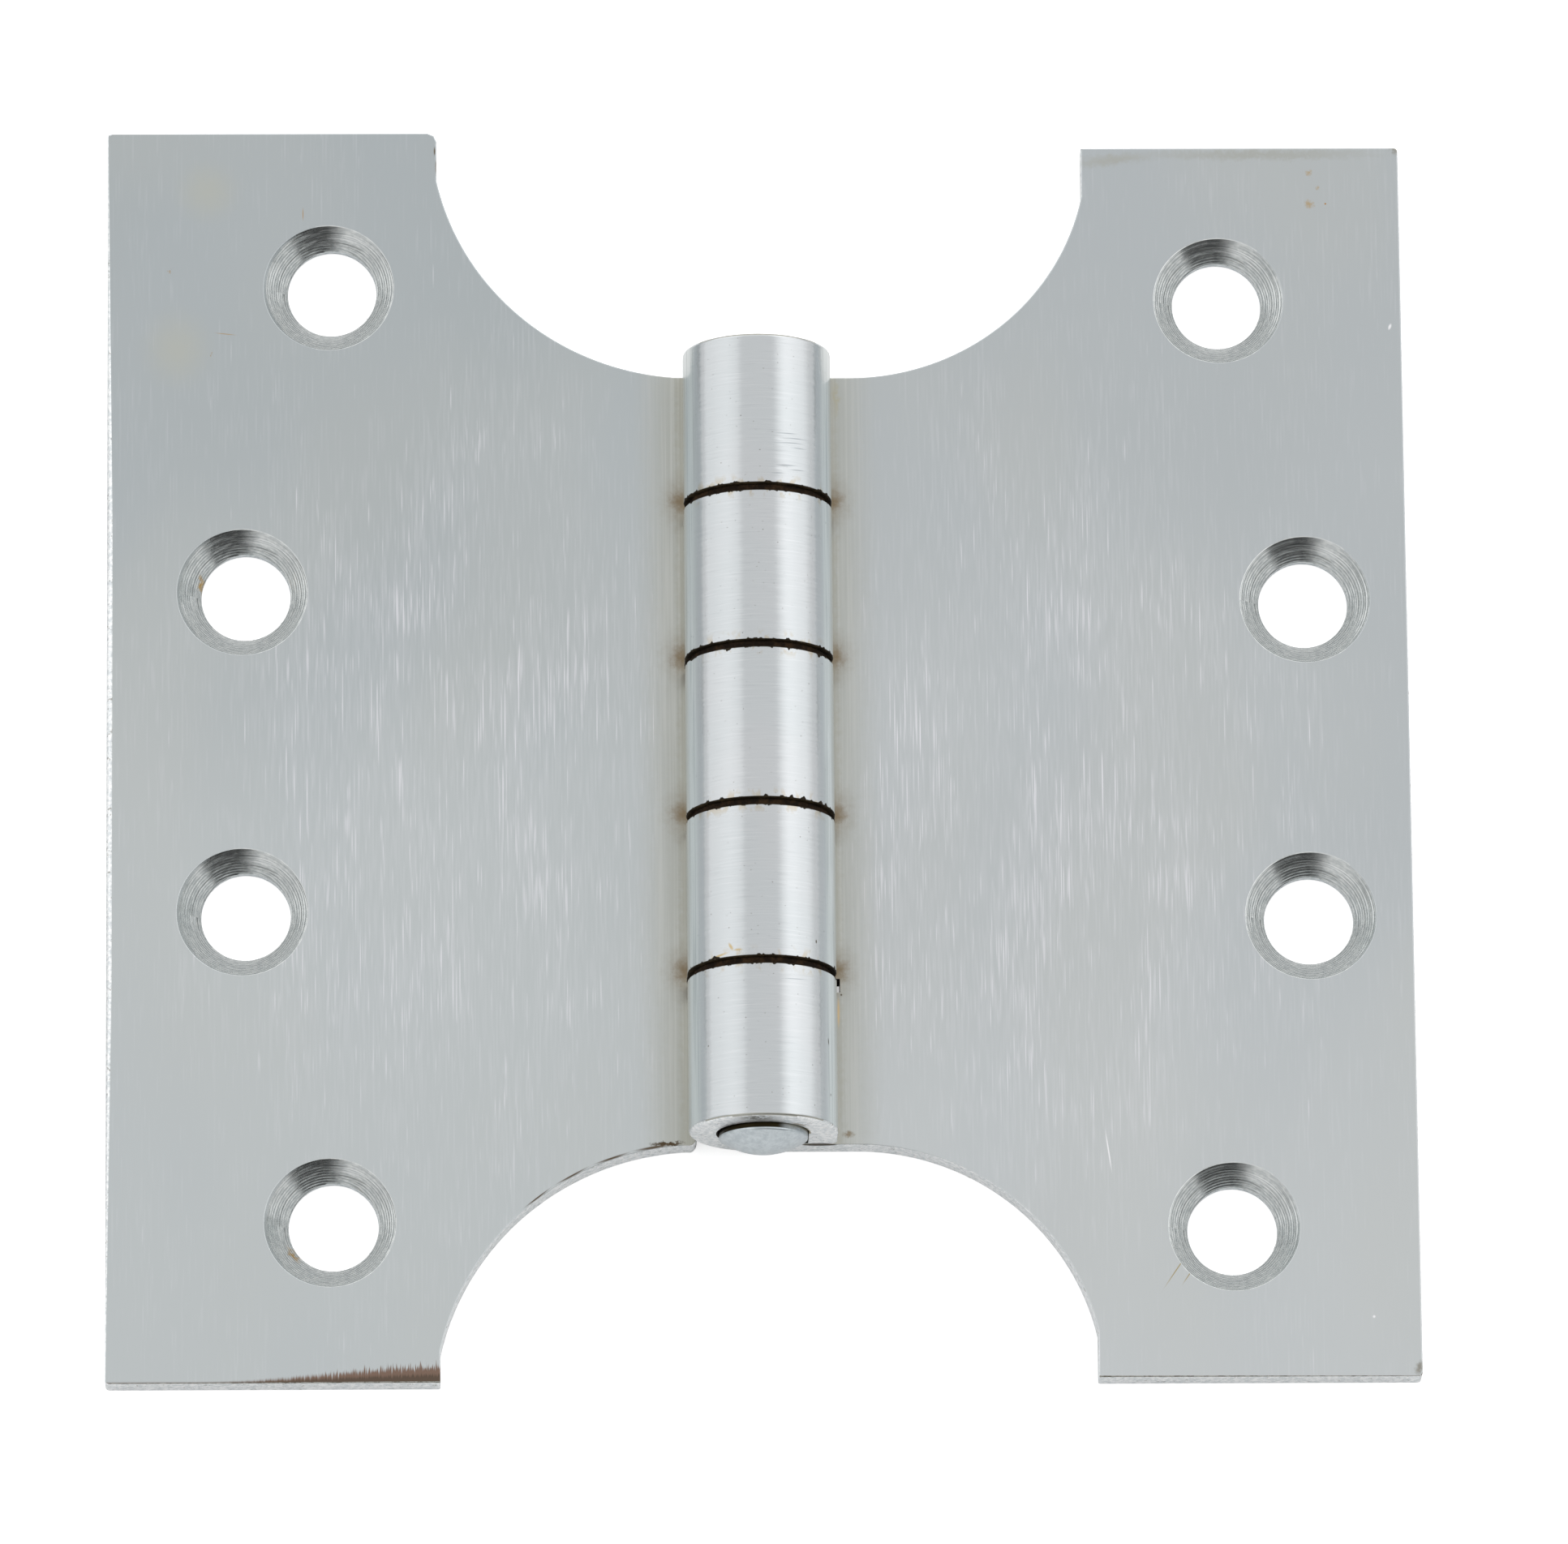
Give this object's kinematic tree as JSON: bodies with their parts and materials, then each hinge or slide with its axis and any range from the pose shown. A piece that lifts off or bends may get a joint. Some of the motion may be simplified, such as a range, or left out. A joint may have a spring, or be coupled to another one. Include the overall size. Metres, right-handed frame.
{
  "type": "parliament hinge",
  "caption": "Parliament hinge: two countersunk steel leaves with deep round cut-outs, rolled knuckles and a domed pin, lying open and flat.",
  "frame": {"origin": "middle of the part's footprint, on the plane of the leaves' backs, under the pin axis", "axes": "+Y along the pin, +Z out of the countersunk faces, +X across the leaves towards the leaf with the end knuckles"},
  "size_m": [0.102, 0.1016, 0.0116],
  "materials": {
    "zinc_plated_sheet": "satin, brushed along the pin",
    "pin_steel": "plain plated, slightly stained"
  },
  "bodies": {
    "right_side": {"right_leaf": "zinc_plated_sheet", "hinge_pin": "pin_steel"},
    "left_side": {"left_leaf": "zinc_plated_sheet"}
  },
  "joints": [
    {"name": "leaf_swing", "type": "hinge", "parent": "right_side", "child": "left_side", "pos_m": [0, 0, 0.0058], "axis": [0, 1, 0], "range_deg": [-73, 187]}
  ]
}
